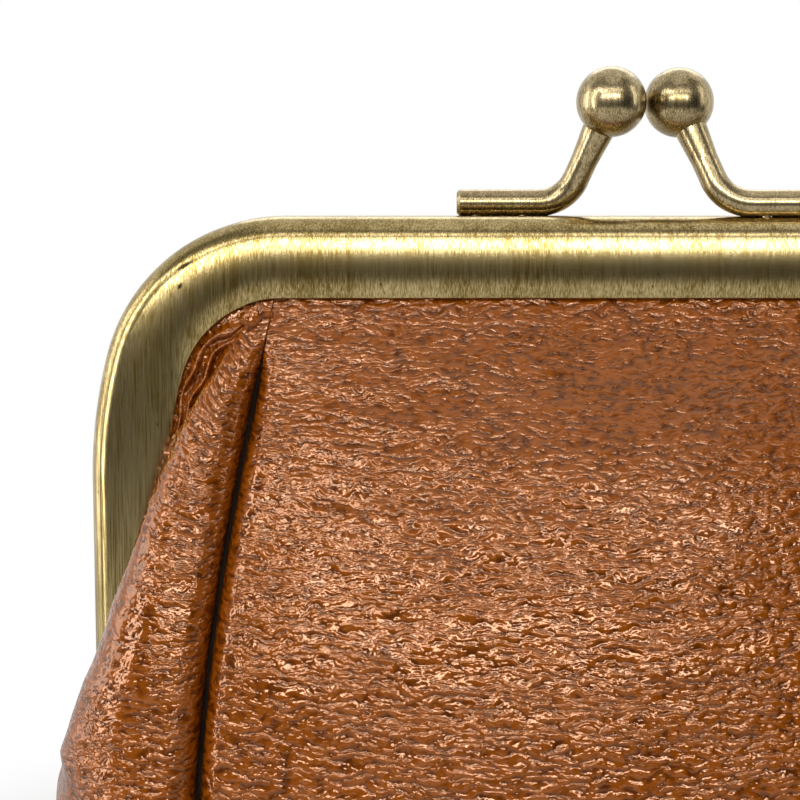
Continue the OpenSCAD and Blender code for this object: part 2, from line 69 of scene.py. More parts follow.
# ---- shader tools
class Wire:
    # One output of a shader node. Python maths on it adds Math nodes.
    def __init__(self, shader, socket):
        self.shader, self.socket = shader, socket

    def calc(self, operation, *values):
        return self.shader.node("Math", {"operation": operation}, dict(enumerate(values)))

    def __add__(self, other):
        return self.calc("ADD", self, other)

    def __sub__(self, other):
        return self.calc("SUBTRACT", self, other)

    def __rsub__(self, other):
        return self.calc("SUBTRACT", other, self)

    def __mul__(self, other):
        return self.calc("MULTIPLY", self, other)

    __radd__ = __add__
    __rmul__ = __mul__

    # 0 below low, 1 above high, smooth between
    def step(self, low, high):
        settings = {"interpolation_type": "SMOOTHSTEP"}
        return self.shader.node("MapRange", settings, {"Value": self, 1: low, 2: high})


class Shader:
    # The nodes of a new material, or of the world that is given.
    def __init__(self, name, world=None):
        self.material = world or bpy.data.materials.new(name)
        self.material.use_nodes = True
        self.tree = self.material.node_tree
        self.tree.nodes.clear()
        self.end = self.tree.nodes.new("ShaderNodeOutput" + ("World" if world else "Material"))

    # Adds a node: its settings first, then the value or link of each named or numbered socket.
    def node(self, kind, settings=None, sockets=None, out=0):
        made = self.tree.nodes.new("ShaderNode" + kind)
        for key, value in (settings or {}).items():
            setattr(made, key, value)
        for key, value in (sockets or {}).items():
            socket = made.inputs[key]
            if isinstance(value, Wire):
                self.tree.links.new(value.socket, socket)
            elif isinstance(value, tuple) and len(value) == 3 and socket.type == "RGBA":
                socket.default_value = (*value, 1)
            else:
                socket.default_value = value
        return Wire(self, made.outputs[out])

    def place(self, source, scale):
        where = self.node("TexCoord", out=source)
        return self.node("Mapping", None, {"Vector": where, "Scale": scale})

    def noise(self, vector, scale=1.0, detail=2.0, rough=0.5, out=0):
        sockets = {"Vector": vector, "Scale": scale, "Detail": detail, "Roughness": rough}
        return self.node("TexNoise", None, sockets, out)

    def mixColour(self, factor, a, b, how="MIX"):
        settings = {"data_type": "RGBA", "blend_type": how}
        return self.node("Mix", settings, {0: factor, 6: a, 7: b}, 2)

    def bump(self, height, distance, strength=1.0):
        sockets = {"Height": height, "Distance": distance, "Strength": strength}
        return self.node("Bump", None, sockets)

    def show(self, surface):
        self.tree.links.new(surface.socket, self.end.inputs["Surface"])
        return self.material

    def finish(self, sockets):
        return self.show(self.node("BsdfPrincipled", None, sockets))


# ---- metals
brass = {
    "bright": (0.60, 0.475, 0.235),
    "aged": (0.18, 0.118, 0.022),
    "dark": (0.03, 0.018, 0.008),
    "rough": 0.12,
    "patches": 0.5,
    "strokeWidth": 0.00013,
    "strokeLength": 0.006,
    "strokeDepth": 0.000003,
    "patchScale": (75, 75, 55),
    "pitScale": (800, 800, 430),
    "pitSize": 0.11,
    # scratches: centre, half length, half width and slope
    "scratches": [
        ((-0.0518, -0.0045, 0.0946), 0.0016, 0.0003, 30),
        ((-0.0523, -0.0045, 0.0923), 0.0006, 0.0003, 55),
    ],
}


# Brushed, darkened brass: strokes are noise drawn out along Z, over slow patches of tarnish.
def brassMaterial(name, look):
    s = Shader(name)
    wide, long = 1 / look["strokeWidth"], 1 / look["strokeLength"]
    fine = s.noise(s.place("Object", (wide, wide, long)), 1, 3, 0.65)
    broad = s.noise(s.place("Object", (wide * 0.16, wide * 0.16, long * 0.35)), 1, 3, 0.6)
    patch = s.noise(s.place("Object", look["patchScale"]), 1, 3, 0.55)
    pitted = s.place("Object", look["pitScale"])
    pits = s.node("TexVoronoi", None, {"Vector": pitted, "Scale": 1.0})
    worn = (fine * 1.25 + broad * 0.45 + (patch - 0.5) * look["patches"]).step(0.57, 1.17)
    colour = s.mixColour(worn, look["aged"], look["bright"])
    spots = (look["pitSize"] - pits).step(0.0, 0.06) * patch.step(0.5, 0.6)
    colour = s.mixColour(spots * 0.8, colour, look["dark"])
    for centre, halfLength, halfWidth, slope in look["scratches"]:
        at = s.node("Mapping", {"vector_type": "TEXTURE"}, {
            "Vector": s.node("TexCoord", out="Object"), "Location": centre,
            "Rotation": (0, -math.radians(slope), 0), "Scale": (halfLength, 0.006, halfWidth),
        })
        inside = s.node("VectorMath", {"operation": "LENGTH"}, {0: at}, 1).step(1.0, 0.3)
        colour = s.mixColour(inside, colour, look["dark"])
    return s.finish({
        "Base Color": colour,
        "Metallic": 1.0,
        "Roughness": 0.1 - worn * 0.08 + fine * 0.1 + look["rough"],
        "Normal": s.bump(fine + broad * 0.7, look["strokeDepth"], 1.0),
    })


metal = {
    "frame": brassMaterial("brushed_brass", brass),
    "clasp": brassMaterial("polished_brass", {
        **brass, "bright": (0.62, 0.50, 0.29), "aged": (0.17, 0.12, 0.045), "rough": 0.15,
        "patches": 0.2, "strokeLength": 0.003,
    }),
}
for node in ("front_frame", "rear_frame", "hinge_rivet_left", "hinge_rivet_right"):
    frame["nodes"][node].material_slots[0].material = metal["frame"]
for end in ("front", "rear"):
    for part in ("stem", "ball", "rivets"):
        frame["nodes"][f"{end}_clasp_{part}"].material_slots[0].material = metal["clasp"]
print("brass made")


# ---- the frame: a strip of sheet bent to a convex channel and swept round the purse
strip = {
    "width": 126.0, "height": 100.0, "stripH": 8.9, "cornerR": 21.0, "flareR": 57.0,
    "flareDeg": 15.0, "armEnd": 50.65, "front": 5.33, "back": 0.15, "sheet": 0.6,
    "shoulderR": 3.0, "backR": 1.1, "tiltIn": 13.0, "tiltOut": -14.0, "hingeZ": 46.0,
    "earR": 3.0, "earT": 0.8,
    # inner face and top of the ears
    "frontEar": (62.2, 49.4), "rearEar": (61.3, 52.3),
}


# Outer edge of the frame from the middle of the bar to the end of the right arm, with the
# direction that faces out: a straight, two arcs and a straight.
def edgePath(steps=(40, 44, 26, 24)):
    turn = math.radians(strip["flareDeg"])
    slowX = strip["width"] / 2 - strip["flareR"]
    cornerX = slowX + (strip["flareR"] - strip["cornerR"]) * math.cos(turn)
    drop = strip["cornerR"] + (strip["flareR"] - strip["cornerR"]) * math.sin(turn)
    angle = np.concatenate([
        np.full(steps[0], math.pi / 2),
        np.linspace(math.pi / 2, turn, steps[1]),
        np.linspace(turn, 0, steps[2])[1:],
        np.zeros(steps[3]),
    ])
    out = np.stack([np.cos(angle), np.sin(angle)], -1)
    bar = np.stack([np.linspace(0, cornerX, steps[0], endpoint=False), np.full(steps[0], 0.0)], -1)
    bend = out[steps[0]:steps[0] + steps[1]] * strip["cornerR"] + [cornerX, -strip["cornerR"]]
    slow = out[sum(steps[:2]):sum(steps[:3]) - 1] * strip["flareR"] + [slowX, -drop]
    fall = np.linspace(drop, strip["armEnd"], steps[3] + 1)[1:]
    arm = np.stack([np.full(steps[3], strip["width"] / 2), -fall], -1)
    path = np.concatenate([bar, bend, slow, arm]) + [0, strip["height"]]
    return path, out


# Section of the sheet from the front lip over the shoulder to the back lip: a line whose
# facing angle falls steadily on each arc, given as depth inwards, y and facing angle.
def stripSection(steps=(16, 30, 22, 8, 12)):
    def arc(a0, a1, length, count):
        a = np.radians(np.linspace(a0, a1, count * 8 + 1))
        mid = (a[1:] + a[:-1]) / 2
        walk = np.stack([np.cos(mid), -np.sin(mid)], -1) * length / (count * 8)
        at = np.concatenate([[[0, 0]], np.cumsum(walk, 0)])
        return at[::8], a[::8]
    r, tiltIn, tiltOut = strip["shoulderR"], strip["tiltIn"], strip["tiltOut"]
    shoulder, a1 = arc(90, tiltIn, r * math.radians(90 - tiltIn), steps[1])
    rest = strip["stripH"] - shoulder[-1, 0]
    radius = rest / (math.sin(math.radians(tiltIn)) - math.sin(math.radians(tiltOut)))
    face, a2 = arc(tiltIn, tiltOut, radius * math.radians(tiltIn - tiltOut), steps[2])
    front = np.concatenate([shoulder, face[1:] + shoulder[-1]])
    facing = np.concatenate([a1, a2[1:]])
    front[:, 1] += -strip["front"] - front[:, 1].min()
    b = strip["backR"]
    turn = np.radians(np.linspace(90, 180, steps[3] * 2))
    back = np.stack([b - b * np.sin(turn), -strip["back"] - b - b * np.cos(turn)], -1)
    flat = np.linspace(b, strip["stripH"], steps[4])[1:]
    line = np.concatenate([
        front[::-1], back, np.stack([flat, np.full(len(flat), -strip["back"])], -1),
    ])
    facing = np.concatenate([facing[::-1], turn, np.full(len(flat), math.pi)])
    return line, facing


# The strip as a closed loop of outer and inner skin, with half-round lips.
def stripLoop():
    line, facing = stripSection()
    half = strip["sheet"] / 2
    way = np.stack([-np.sin(facing), -np.cos(facing)], -1)
    middle = line - way * half
    lip = np.radians(np.linspace(0, 180, 9))[1:-1]
    ahead = np.array([1.0, 0.0])
    cap0 = [middle[0] + half * (math.cos(a) * way[0] * -1 + math.sin(a) * ahead) for a in lip]
    cap1 = [middle[-1] + half * (math.cos(a) * way[-1] + math.sin(a) * ahead) for a in lip]
    outer, inner = middle + way * half, middle - way * half
    return np.concatenate([cap0, outer, cap1, inner[::-1]]), len(lip), len(outer)


# One half of the frame: the loop carried along the edge path and mirrored, with an ear at the
# end of each arm.
def framePiece(name, earX, earTop, turn, body):
    path, out = edgePath()
    loop, lips, count = stripLoop()
    path = np.concatenate([path[:0:-1] * [-1, 1], path])
    out = np.concatenate([out[:0:-1] * [-1, 1], out])
    at = path[:, None] - out[:, None] * loop[None, :, :1]
    grid = np.stack([at[..., 0], np.broadcast_to(loop[:, 1], at.shape[:2]), at[..., 1]], -1)
    rows, cols = grid.shape[:2]
    number = np.arange(rows * cols).reshape(rows, cols)
    after = np.roll(number, -1, 1)
    faces = np.stack([number[:-1], after[:-1], after[1:], number[1:]], -1).reshape(-1, 4).tolist()
    for row, flip in ((number[0], False), (number[-1], True)):
        outer, inner = row[lips:lips + count], row[2 * lips + count:][::-1]
        cap = np.stack([outer[:-1], outer[1:], inner[1:], inner[:-1]], -1)[:, ::1 if flip else -1]
        faces += cap.tolist()
        for ring in (row[:lips], row[lips + count:2 * lips + count]):
            first = ring[0] == row[0]
            ends = [inner[0], *ring, outer[0]] if first else [outer[-1], *ring, inner[-1]]
            faces.append([int(v) for v in (ends if flip else ends[::-1])])
    points = grid.reshape(-1, 3)
    r, z = strip["earR"], strip["hingeZ"]
    angle = np.radians(np.linspace(180, 447, 50))
    disc = np.stack([r * np.cos(angle), z + r * np.sin(angle)], -1)
    outline = np.concatenate([[[-r, earTop]], disc, [[-strip["back"], earTop]]])
    for side in (-1, 1):
        start = len(points)
        flat = [np.stack([np.full(len(outline), side * x), *outline.T], -1)
                for x in (earX, earX + strip["earT"])]
        points = np.concatenate([points, *flat])
        n = len(outline)
        low, high = list(range(start, start + n)), list(range(start + n, start + 2 * n))
        walls = np.stack([low, np.roll(low, -1), np.roll(high, -1), high], -1).tolist()
        for face in (low[::-1], high, *walls):
            faces.append(face if side > 0 else face[::-1])
    mesh = bpy.data.meshes.new(name)
    mesh.from_pydata((points * turn * 0.001).tolist(), [], faces)
    mesh.validate()
    tidy = bmesh.new()
    tidy.from_mesh(mesh)
    bmesh.ops.recalc_face_normals(tidy, faces=tidy.faces)
    tidy.to_mesh(mesh)
    tidy.free()
    mesh.materials.append(metal["frame"])
    mesh.shade_smooth()
    mesh.set_sharp_from_angle(angle=math.radians(40))
    piece = bpy.data.objects.new(name, mesh)
    bpy.context.scene.collection.objects.link(piece)
    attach(piece, body)
    return piece


here, turnBack = np.array([1, 1, 1]), np.array([-1, -1, 1])
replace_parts(framePiece("front_frame_strip", *strip["frontEar"], here, "front_half"), "front_frame")
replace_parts(framePiece("rear_frame_strip", *strip["rearEar"], turnBack, "rear_half"), "rear_frame")
print("frame made")


# ---- leather, lining, thread and paper
hide = {
    # deep: painted shade, the colour of the valleys and creases
    "deep": (0.048, 0.0080, 0.0001),
    "base": (0.078, 0.0155, 0.0002),
    # raised: painted light, the colour of the lumps' tops
    "raised": (0.215, 0.050, 0.0012),
    "ripple": (1.25, 0.62),      # mm, length and height of the lumps
    "depth": 0.00036,
    "rough": 0.04,
    "gloss": 1.57,               # index of refraction of the finish
    "tint": (1.0, 0.58, 0.36, 1),
    "bend": 1.5,                 # mm, how far the lumps stray sideways
    "fine": 0.14,                # shares of the relief
    "coarse": 0.3,
    "creases": 0.1,
    "valleyShade": 0.4,           # shares of the deep colour, painted shade in the valleys and in the creases
    "creaseShade": 0.85,
}


# Crinkled glossy leather on the piece's own UV map in millimetres: lumps are noise drawn out
# across, bent by slow noise; short creases lie where a slower noise passes its middle value.
# Its colour paints light on the lumps' tops and shade in the valleys and creases.
def leatherMaterial(name, look):
    s = Shader(name)
    where = s.node("TexCoord", out="UV")

    def at(vector, across, down):
        return s.node("Mapping", None, {"Vector": vector, "Scale": (across, down, 1)})

    bend = s.noise(at(where, 0.35, 0.5), 1, 1, 0.5, 1)
    bend = s.node("VectorMath", {"operation": "SUBTRACT"}, {0: bend, 1: (0.5, 0.5, 0.5)})
    far = (look["bend"], look["bend"], 0)
    bend = s.node("VectorMath", {"operation": "MULTIPLY"}, {0: bend, 1: far})
    bent = s.node("VectorMath", {"operation": "ADD"}, {0: where, 1: bend})
    across, down = 1 / look["ripple"][0], 1 / look["ripple"][1]
    ripple = s.noise(at(bent, across, down), 1, 1.0, 0.35)
    fine = s.noise(at(bent, across * 2.6, down * 2.2), 1, 1, 0.5)
    coarse = s.noise(at(where, across * 0.4, down * 0.4), 1, 2, 0.5)
    calm = s.noise(at(where, 0.06, 0.08), 1, 2, 0.5).step(0.34, 0.56)
    n = s.noise(at(bent, across * 0.55, down * 0.55), 1, 2, 0.6)
    crease = s.node("Math", {"operation": "ABSOLUTE"}, {0: n - 0.5}).step(0.035, 0.0)
    crease = crease * coarse.step(0.56, 0.66)
    height = (ripple + fine * look["fine"]) * (calm * 0.45 + 0.55)
    height = height + coarse * look["coarse"] - crease * look["creases"]
    tone = s.noise(at(where, 0.25, 0.4), 1, 4, 0.6).step(0.3, 0.7)
    # Painted light: the colour is lighter on the lumps' tops, shifted by a random tone.
    colour = s.mixColour((ripple + tone * 0.2).step(0.36, 0.74), look["base"], look["raised"])
    # Painted shade: the colour goes towards the deep colour in the valleys between the lumps.
    valley = (ripple + coarse * 0.5).step(0.66, 0.5)
    colour = s.mixColour(valley * look["valleyShade"], colour, look["deep"])
    # Painted shade: the colour goes towards the deep colour in the creases.
    colour = s.mixColour(crease * look["creaseShade"], colour, look["deep"])
    return s.finish({
        "Base Color": colour,
        "Roughness": fine * 0.08 + tone * 0.06 + look["rough"],
        "IOR": look["gloss"],
        "Specular IOR Level": 1.0,
        "Specular Tint": look["tint"],
        "Normal": s.bump(height, look["depth"], 1.0),
    })


# light is the threads' colour; dark is painted shade for the low gaps between them
clothLook = {"light": (0.115, 0.075, 0.045), "dark": (0.05, 0.03, 0.018), "threads": 2.6}


# Plain-woven lining: two sets of threads, one over the other by turns.
def clothMaterial(name, look):
    s = Shader(name)
    where = s.node("TexCoord", out="UV")
    size = look["threads"]
    weave = []
    for turn in (0, 1):
        scale = (size * 0.6, size, 1) if turn else (size, size * 0.6, 1)
        at = s.node("Mapping", None, {"Vector": where, "Scale": scale})
        wave = {"wave_type": "BANDS", "bands_direction": "Y" if turn else "X"}
        weave.append(s.node("TexWave", wave, {"Vector": at, "Scale": 1.0, "Distortion": 0.4}, 1))
    fuzz = s.noise(s.node("Mapping", None, {"Vector": where, "Scale": (9, 9, 1)}), 1, 4, 0.6)
    height = weave[0] * 0.5 + weave[1] * 0.5 + fuzz * 0.3
    # Painted shade: the colour is darker where the weave lies low, between the threads.
    colour = s.mixColour(height.step(0.3, 1.0), look["dark"], look["light"])
    return s.finish({
        "Base Color": colour, "Roughness": 0.82 + fuzz * 0.1, "Sheen Weight": 0.25,
        "Normal": s.bump(height, 0.00012, 0.7),
    })


# Twisted fibres: fine noise over a flat tone, for the thread and the paper cord.
def fibreMaterial(name, light, dark, scale):
    s = Shader(name)
    fibre = s.noise(s.place("Object", scale), 1, 4, 0.65)
    return s.finish({
        "Base Color": s.mixColour(fibre.step(0.3, 0.7), dark, light),
        "Roughness": 0.7 + fibre * 0.2, "Normal": s.bump(fibre, 0.00008, 0.8),
    })


soft = {
    "leather": leatherMaterial("crinkled_leather", hide),
    "lining": clothMaterial("lining_cloth", clothLook),
    "thread": fibreMaterial(
        "waxed_thread", (0.2, 0.1, 0.045), (0.08, 0.035, 0.015), (4000, 4000, 900)),
    "paper": fibreMaterial(
        "paper_cord", (0.6, 0.47, 0.29), (0.38, 0.28, 0.16), (2500, 2500, 1200)),
}
for end in ("front", "rear"):
    frame["nodes"][f"{end}_paper_cord"].material_slots[0].material = soft["paper"]
print("leather and cloth made")


# ---- mesh tools
mm = 0.001


# Puts a grid of points in millimetres (rows, columns, 3) into a mesh of quads, with a UV map
# in millimetres, turned over where flip is set.
def gridPiece(name, grid, uv, material, flip=False, thick=0.0, keep=None):
    rows, cols = grid.shape[:2]
    mesh = bpy.data.meshes.new(name)
    number = np.arange(rows * cols).reshape(rows, cols)
    a, b, d, e = number[:-1, :-1], number[:-1, 1:], number[1:, :-1], number[1:, 1:]
    order = (a, b, e, d) if flip else (a, d, e, b)
    faces = np.stack(order, -1)
    faces = faces[keep] if keep is not None else faces.reshape(-1, 4)
    used, index = np.unique(faces, return_inverse=True)
    faces = index.reshape(-1, 4)
    points = grid.reshape(-1, 3)[used] * mm
    mesh.vertices.add(len(points))
    mesh.vertices.foreach_set("co", points.astype(np.float32).ravel())
    mesh.loops.add(faces.size)
    mesh.loops.foreach_set("vertex_index", faces.astype(np.int32).ravel())
    mesh.polygons.add(len(faces))
    mesh.polygons.foreach_set("loop_start", np.arange(0, faces.size, 4, dtype=np.int32))
    mesh.update(calc_edges=True)
    layer = mesh.uv_layers.new(name="UVMap")
    layer.data.foreach_set("uv", uv.reshape(-1, 2)[used][faces.ravel()].astype(np.float32).ravel())
    mesh.validate()
    mesh.shade_smooth()
    piece = bpy.data.objects.new(name, mesh)
    bpy.context.scene.collection.objects.link(piece)
    mesh.materials.append(material)
    if thick:
        wall = piece.modifiers.new("thickness", "SOLIDIFY")
        wall.thickness, wall.offset, wall.use_even_offset = thick * mm, -1, False
    return piece


# From a to b as t goes from 0 to 1.
def mix(a, b, t):
    return a + (b - a) * t


# A smooth step: three t squared less two t cubed, with t held between 0 and 1.
def ease(t):
    c = np.clip(t, 0, 1)
    return c * c * (3 - 2 * c)


# Distance along each line of a grid, for UV maps: sums of the steps between neighbours.
def along(grid, axis):
    step = np.linalg.norm(np.diff(grid, axis=axis), axis=-1)
    start = np.zeros_like(np.take(step, [0], axis))
    return np.cumsum(np.concatenate([start, step], axis), axis)


# Unit normals of a grid: the cross product of its two directions.
def normals(grid, flip=False):
    n = np.cross(np.gradient(grid, axis=1), np.gradient(grid, axis=0))
    n /= np.maximum(np.linalg.norm(n, axis=-1, keepdims=True), 1e-9)
    return -n if flip else n


# A number from 0 to 1 for each pair of whole numbers, the same every time.
def scatter(ix, iy, seed):
    h = (ix * 374761393 + iy * 668265263 + seed * 1442695041).astype(np.int64) & 0xFFFFFFFF
    h = ((h ^ (h >> 13)) * 1274126177) & 0xFFFFFFFF
    h = ((h ^ (h >> 16)) * 2246822519) & 0xFFFFFFFF
    return ((h ^ (h >> 15)) & 0xFFFFFF) / 0xFFFFFF


# Smooth noise from 0 to 1: numbers on a lattice, eased between.
def slowNoise(x, y, seed):
    ix, iy = np.floor(x).astype(np.int64), np.floor(y).astype(np.int64)
    fx, fy = ease(x - ix), ease(y - iy)
    top = mix(scatter(ix, iy, seed), scatter(ix + 1, iy, seed), fx)
    low = mix(scatter(ix, iy + 1, seed), scatter(ix + 1, iy + 1, seed), fx)
    return mix(top, low, fy)


# ---- the leather body, worked out in millimetres as in the CAD model
body = {
    "frameW": 126, "armDrop": 54, "stripH": 8.9, "cornerR": 21, "flareR": 57, "flareDeg": 15,
    "bodyH": 100, "panelTop": 41.8, "panelLow": 50, "panelR": 22, "seamZ": 4.5, "seamY": 22,
    "belly": 6, "puff": 3.4, "widestX": 67.8, "leatherT": 1.2, "allowance": 1.7, "tuck": 4.6,
    "halfY1": 5.2, "sheetT": 0.8, "layerGap": 0.1, "earR": 3, "earGap": 0.35, "seamGap": 0.5,
    # along q: where the edges turn in, over what length, and over what they flatten in the base
    "turnStart": 0.05, "turnLength": 0.2, "flatLength": 0.8, "swellLength": 0.3,
    "tightEdge": 0.35,
}
b = body
exitZ = b["bodyH"] - b["stripH"]
sideH = exitZ - b["seamZ"] - b["panelR"]
leatherY = b["halfY1"] - b["sheetT"] - b["layerGap"] - 0.2
armEnd = b["armDrop"] - b["earR"] - b["earGap"]
hingeQ = (exitZ - (b["bodyH"] - armEnd)) / sideH
flareTurn = math.radians(b["flareDeg"])
slowX = b["frameW"] / 2 - b["flareR"]
cornerX = slowX + (b["flareR"] - b["cornerR"]) * math.cos(flareTurn)
flareDrop = b["cornerR"] + (b["flareR"] - b["cornerR"]) * math.sin(flareTurn)
innerR = b["cornerR"] - b["stripH"]
slowR = b["flareR"] - b["stripH"]
barL = cornerX - b["panelTop"]
bendL = innerR * (math.pi / 2 - flareTurn)
slowL = slowR * flareTurn
archL = barL + bendL + slowL + armEnd - flareDrop


# The seam's turn round the lower corner: a quarter circle as q goes from 1 to 2.
def turnOf(q):
    return np.radians(90 * np.clip(q - 1, 0, 1))


# The seam beside a panel, for q from 0 at the frame to 1 at the lower corner and 2 in the base.
def seamPoint(q):
    down, turn = np.sin(np.pi / 2 * np.clip(q, 0, 1)), turnOf(q)
    x = mix(b["panelTop"], b["panelLow"], down) - b["panelR"] * (1 - np.cos(turn))
    z = exitZ - sideH * np.clip(q, 0, 1) - b["panelR"] * np.sin(turn)
    return np.stack([x, -mix(leatherY, b["seamY"], down), z], -1)


# Unit direction from the seam, away from the panel.
def seamOut(q):
    turn = turnOf(q)
    return np.stack([np.cos(turn), 0 * turn, -np.sin(turn)], -1)


# Share by which the edges beside the seam are turned in.
def turned(q):
    return ease((q - b["turnStart"]) / b["turnLength"]) * ease((2 - q) / b["flatLength"])


# The rounded edge beside the seam: k from 0 at the face, 3 where it goes in, 4 at its end.
def edgePoint(q, k, side):
    a = np.radians(30 * np.minimum(k, 3))
    roundOff = side * b["puff"] * (np.sin(a) - 1)
    deep = b["puff"] * (1 - np.cos(a)) + b["allowance"] * np.clip(k - 3, 0, 1)
    t = turned(q)
    flat = side * b["puff"] * (k / 4 - 1) * np.where(q < 1, mix(b["tightEdge"], 1, t), 1)
    out = seamOut(q)
    way = np.broadcast_to(np.array([1.0, 0, 0]), out.shape) if side > 0 else out
    back = np.zeros_like(out)
    back[..., 1] = deep
    gap = side * b["seamGap"] * (0.1 + 0.4 * t)
    return (seamPoint(q) - gap[..., None] * out
            + t[..., None] * (roundOff[..., None] * out + back)
            + ((1 - t) * flat)[..., None] * way)


# How far the panel's middle stands out: the belly, eased in at the frame and lost in the base.
def swell(q):
    return b["belly"] * ease(q / b["swellLength"]) * np.cos(turnOf(q))


# The front panel: a crowned face between its two seams, then the rounded edge on each side.
def panelGrid(rowCount, faceCols, edgeCols):
    q = spacing(rowCount)
    u = np.linspace(0, 1, faceCols)
    k = np.linspace(0, 4, edgeCols)[1:]
    qq, uu = np.meshgrid(q, u, indexing="ij")
    e = edgePoint(qq, 0 * qq, 1)
    face = np.stack([e[..., 0] * uu, e[..., 1] - swell(qq) * (1 - uu ** 2), e[..., 2]], -1)
    qe, ke = np.meshgrid(q, k, indexing="ij")
    half = np.concatenate([face, edgePoint(qe, ke, 1)], 1)
    up = np.linspace(b["tuck"], 0, 5)[:-1]
    lift = np.repeat(half[:1], len(up), 0)
    lift[..., 1] = -leatherY
    lift[..., 2] = exitZ + up[:, None]
    half = np.concatenate([lift, half], 0)
    return np.concatenate([half[:, :0:-1] * [-1, 1, 1], half], 1)


# Values of q that lie evenly along the seam.
def spacing(count, start=0.0, stop=2.0):
    q = np.linspace(start, stop, 2000)
    p = seamPoint(q)
    length = np.concatenate([[0], np.cumsum(np.linalg.norm(np.diff(p, axis=0), axis=1))])
    return np.interp(np.linspace(0, length[-1], count), length, q)


# Places along the inner edge of the frame, from the seam round the corner and down the arm.
def rimPoint(s, inward, y):
    bend = np.pi / 2 - (s - barL) / innerR
    slow = flareTurn - (s - barL - bendL) / slowR
    onBend, onSlow = s < barL + bendL, s < barL + bendL + slowL
    x = np.where(onBend, cornerX + innerR * np.cos(bend),
                 np.where(onSlow, slowX + slowR * np.cos(slow), b["frameW"] / 2 - b["stripH"]))
    z = np.where(onBend, b["bodyH"] - b["cornerR"] + innerR * np.sin(bend),
                 np.where(onSlow, b["bodyH"] - flareDrop + slowR * np.sin(slow),
                          b["bodyH"] - flareDrop - (s - barL - bendL - slowL)))
    turn = np.where(onBend, bend, np.where(onSlow, slow, 0))
    return np.stack([x + np.cos(turn) * inward, -y + 0 * x, z + np.sin(turn) * inward], -1)


# Unit direction out of the frame's opening.
def rimOut(s):
    return rimPoint(s, 1.0 + 0 * s, 0.0) - rimPoint(s, 0 * s, 0.0)


# Cubic Bezier curve of four points, at t.
def bezier(p0, p1, p2, p3, t):
    s = 1 - t
    return p0 * s ** 3 + 3 * p1 * s * s * t + 3 * p2 * s * t * t + p3 * t ** 3


# reach: how far the gusset stands out from the middle, at heights above the base
gusset = {
    "edgeCols": 14, "rollCols": 54, "gatherCols": 30, "rimCols": 8, "rows": 210,
    "reach": [(0, 66.8), (14, 67.8), (25, 68.0), (34, 67.4), (38.5, 66.5), (43, 65.2),
              (47.4, 63.7), (55, 60.3), (63, 57.4), (70, 55.0), (74.4, 53.3), (78, 51.6),
              (81, 49.8), (85.4, 46.9), (89, 44.6), (93, 43.2)],
    "folds": 2.5, "foldDepth": 1.3, "foldSeed": 5, "flapShare": 0.42,
    # roundness of the free rows beside the panel and in the base, and their closeness at the seam
    "sidePower": 2.4, "basePower": 4, "rowPower": 0.85, "held": 0.4,
    # share of its handles that a rounded row reaches, and where the roll comes out over the frame
    "curve": 0.56, "overStart": 0.2, "overLength": 0.16,
}


# Reach at any height: the table, smoothed over five millimetres.
def reachAt(z):
    heights, reach = np.array(gusset["reach"]).T
    even = np.linspace(-6, 100, 1061)
    line = np.interp(even, heights, reach)
    window = np.hanning(53)
    line = np.convolve(np.pad(line, 26, mode="edge"), window / window.sum(), "valid")
    return np.interp(z, even, line)


# How far the gusset stands out from its seam: the reach beside the panel, then in again
# round the base.
def outerX(q):
    p = seamPoint(q)
    low = mix(b["widestX"] - b["panelLow"], b["seamZ"], ease(q - 1))
    return np.where(q <= 1, reachAt(p[..., 2]) - p[..., 0], low)


# The gusset's rounded edge, from its inner end to its face.
def seamEdge(q):
    k = np.linspace(4, 0, gusset["edgeCols"])[None]
    return edgePoint(q + 0 * k, k, -1)


